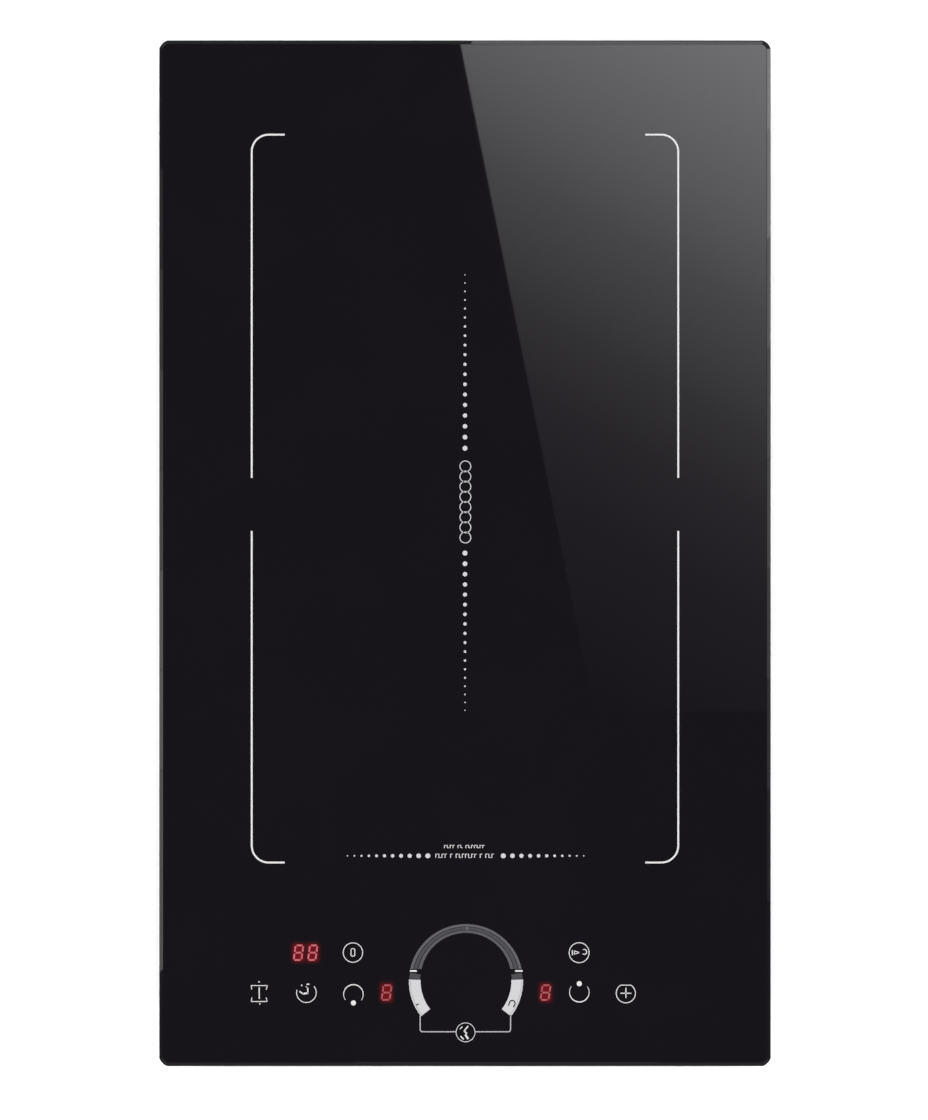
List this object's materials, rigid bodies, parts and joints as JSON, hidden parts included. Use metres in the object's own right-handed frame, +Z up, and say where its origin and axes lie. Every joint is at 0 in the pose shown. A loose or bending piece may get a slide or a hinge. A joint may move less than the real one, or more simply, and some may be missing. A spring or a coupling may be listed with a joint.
{
  "type": "built-in induction cooktop",
  "caption": "Slim built-in induction cooktop: black glass plate with touch controls over a sheet-steel casing that holds sprung coils, a blower and worktop clamps.",
  "frame": {"origin": "centre of the object's footprint, at the casing's underside", "axes": "+Z up, +Y towards the back of the worktop, +X to the right as seen by the cook; the controls are at -Y"},
  "size_m": [0.31, 0.52, 0.062],
  "materials": {
    "ceramic_glass": "polished",
    "seal_foam": "matte",
    "frame_steel": "satin",
    "galvanised_steel": "satin",
    "zinc_steel": "satin",
    "spring_steel": "satin",
    "aluminium": "satin",
    "former_plastic": "matte",
    "copper": "satin",
    "mica": "matte",
    "sensor_silicone": "matte",
    "lead_sleeve": "matte",
    "black_plastic": "matte",
    "circuit_board": "satin",
    "component_black": "satin",
    "capacitor_case": "satin",
    "white_plastic": "satin",
    "display_red": "gloss",
    "light_guide": "gloss",
    "ribbon": "satin",
    "gland_rubber": "matte"
  },
  "bodies": {
    "casing": {"glass_panel": "ceramic_glass", "worktop_seal": "seal_foam", "glass_frame": "frame_steel", "base_tray": "galvanised_steel", "case_screw_rear_left": "zinc_steel", "case_screw_rear_right": "zinc_steel", "case_screw_front_left": "zinc_steel", "case_screw_front_right": "zinc_steel", "coil_spring_rear_1": "spring_steel", "coil_spring_rear_2": "spring_steel", "coil_spring_rear_3": "spring_steel", "coil_spring_front_1": "spring_steel", "coil_spring_front_2": "spring_steel", "coil_spring_front_3": "spring_steel", "crossbar_rear": "zinc_steel", "crossbar_middle": "zinc_steel", "crossbar_front": "zinc_steel", "coil_lead_rear": "lead_sleeve", "coil_lead_front": "lead_sleeve", "board_carrier": "black_plastic", "power_board": "circuit_board", "heatsink": "aluminium", "power_transistor_rear": "component_black", "power_transistor_front": "component_black", "bridge_rectifier": "component_black", "resonance_capacitor": "capacitor_case", "smoothing_capacitor": "capacitor_case", "mains_choke": "copper", "fan_scroll": "black_plastic", "fan_cover": "black_plastic", "control_board": "circuit_board", "control_holder": "white_plastic", "timer_display": "display_red", "left_zone_display": "display_red", "right_zone_display": "display_red", "slider_light_guide": "light_guide", "ribbon_cable": "ribbon", "terminal_box": "black_plastic", "terminal_block": "white_plastic", "cable_gland": "gland_rubber"},
    "coil_unit_rear": {"coil_carrier_rear": "aluminium", "coil_former_rear": "former_plastic", "coil_winding_rear": "copper", "insulation_pad_rear": "mica", "temperature_sensor_rear": "sensor_silicone"},
    "coil_unit_front": {"coil_carrier_front": "aluminium", "coil_former_front": "former_plastic", "coil_winding_front": "copper", "insulation_pad_front": "mica", "temperature_sensor_front": "sensor_silicone"},
    "fan_wheel": {"fan_rotor": "black_plastic"},
    "wiring_lid": {"terminal_cover": "black_plastic"},
    "clamp_bolt_rear_left": {"clamp_screw_rear_left": "zinc_steel"},
    "clamp_arm_rear_left": {"clamp_finger_rear_left": "zinc_steel"},
    "clamp_bolt_rear_right": {"clamp_screw_rear_right": "zinc_steel"},
    "clamp_arm_rear_right": {"clamp_finger_rear_right": "zinc_steel"},
    "clamp_bolt_front_left": {"clamp_screw_front_left": "zinc_steel"},
    "clamp_arm_front_left": {"clamp_finger_front_left": "zinc_steel"},
    "clamp_bolt_front_right": {"clamp_screw_front_right": "zinc_steel"},
    "clamp_arm_front_right": {"clamp_finger_front_right": "zinc_steel"}
  },
  "joints": [
    {"name": "coil_press_rear", "type": "slide", "parent": "casing", "child": "coil_unit_rear", "axis": [0, 0, 1], "range_m": [-0.003, 0], "stiffness_N_per_m": 5000, "springref_m": 0.006, "deforming": ["coil_spring_rear_1", "coil_spring_rear_2", "coil_spring_rear_3", "coil_lead_rear"]},
    {"name": "coil_press_front", "type": "slide", "parent": "casing", "child": "coil_unit_front", "axis": [0, 0, 1], "range_m": [-0.003, 0], "stiffness_N_per_m": 5000, "springref_m": 0.006, "deforming": ["coil_spring_front_1", "coil_spring_front_2", "coil_spring_front_3", "coil_lead_front"]},
    {"name": "fan_spin", "type": "hinge", "parent": "casing", "child": "fan_wheel", "pos_m": [-0.068, 0.15, 0.0215], "axis": [0, 0, 1], "continuous": true},
    {"name": "wiring_lid_hinge", "type": "hinge", "parent": "casing", "child": "wiring_lid", "pos_m": [0.095, 0.247, 0.0386], "axis": [1, 0, 0], "range_deg": [0, 105]},
    {"name": "clamp_lift_rear_left", "type": "slide", "parent": "casing", "child": "clamp_bolt_rear_left", "axis": [0, 0, 1], "range_m": [0, 0.018]},
    {"name": "clamp_swing_rear_left", "type": "hinge", "parent": "clamp_bolt_rear_left", "child": "clamp_arm_rear_left", "pos_m": [-0.1325, 0.167, 0.0065], "axis": [0, 0, -1], "range_deg": [0, 90]},
    {"name": "clamp_lift_rear_right", "type": "slide", "parent": "casing", "child": "clamp_bolt_rear_right", "axis": [0, 0, 1], "range_m": [0, 0.018]},
    {"name": "clamp_swing_rear_right", "type": "hinge", "parent": "clamp_bolt_rear_right", "child": "clamp_arm_rear_right", "pos_m": [0.1325, 0.167, 0.0065], "axis": [0, 0, 1], "range_deg": [0, 90]},
    {"name": "clamp_lift_front_left", "type": "slide", "parent": "casing", "child": "clamp_bolt_front_left", "axis": [0, 0, 1], "range_m": [0, 0.018]},
    {"name": "clamp_swing_front_left", "type": "hinge", "parent": "clamp_bolt_front_left", "child": "clamp_arm_front_left", "pos_m": [-0.1325, -0.167, 0.0065], "axis": [0, 0, -1], "range_deg": [0, 90]},
    {"name": "clamp_lift_front_right", "type": "slide", "parent": "casing", "child": "clamp_bolt_front_right", "axis": [0, 0, 1], "range_m": [0, 0.018]},
    {"name": "clamp_swing_front_right", "type": "hinge", "parent": "clamp_bolt_front_right", "child": "clamp_arm_front_right", "pos_m": [0.1325, -0.167, 0.0065], "axis": [0, 0, 1], "range_deg": [0, 90]}
  ]
}
